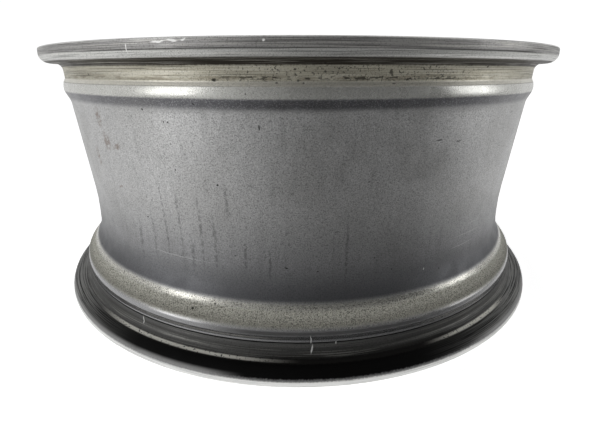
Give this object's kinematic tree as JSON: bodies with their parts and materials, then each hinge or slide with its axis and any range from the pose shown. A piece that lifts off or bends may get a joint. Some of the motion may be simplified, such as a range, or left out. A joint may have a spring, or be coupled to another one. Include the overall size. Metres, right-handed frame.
{
  "type": "alloy wheel",
  "caption": "One-piece alloy car wheel with a drop-centre rim between two flanges, a spoked disc, a centre bore and lug holes, lying on its outboard lip.",
  "frame": {"origin": "on the wheel axis, in the plane of the outboard lip that the wheel lies on", "axes": "+Z along the wheel axis, pointing inboard; the valve hole is near +X"},
  "size_m": [0.5422, 0.5422, 0.2419],
  "materials": {
    "alloy": "matte silver paint on the barrel, bare worn metal on the lips, dirty bead seats"
  },
  "bodies": {
    "root": {"alloy_wheel": "alloy"}
  },
  "joints": []
}
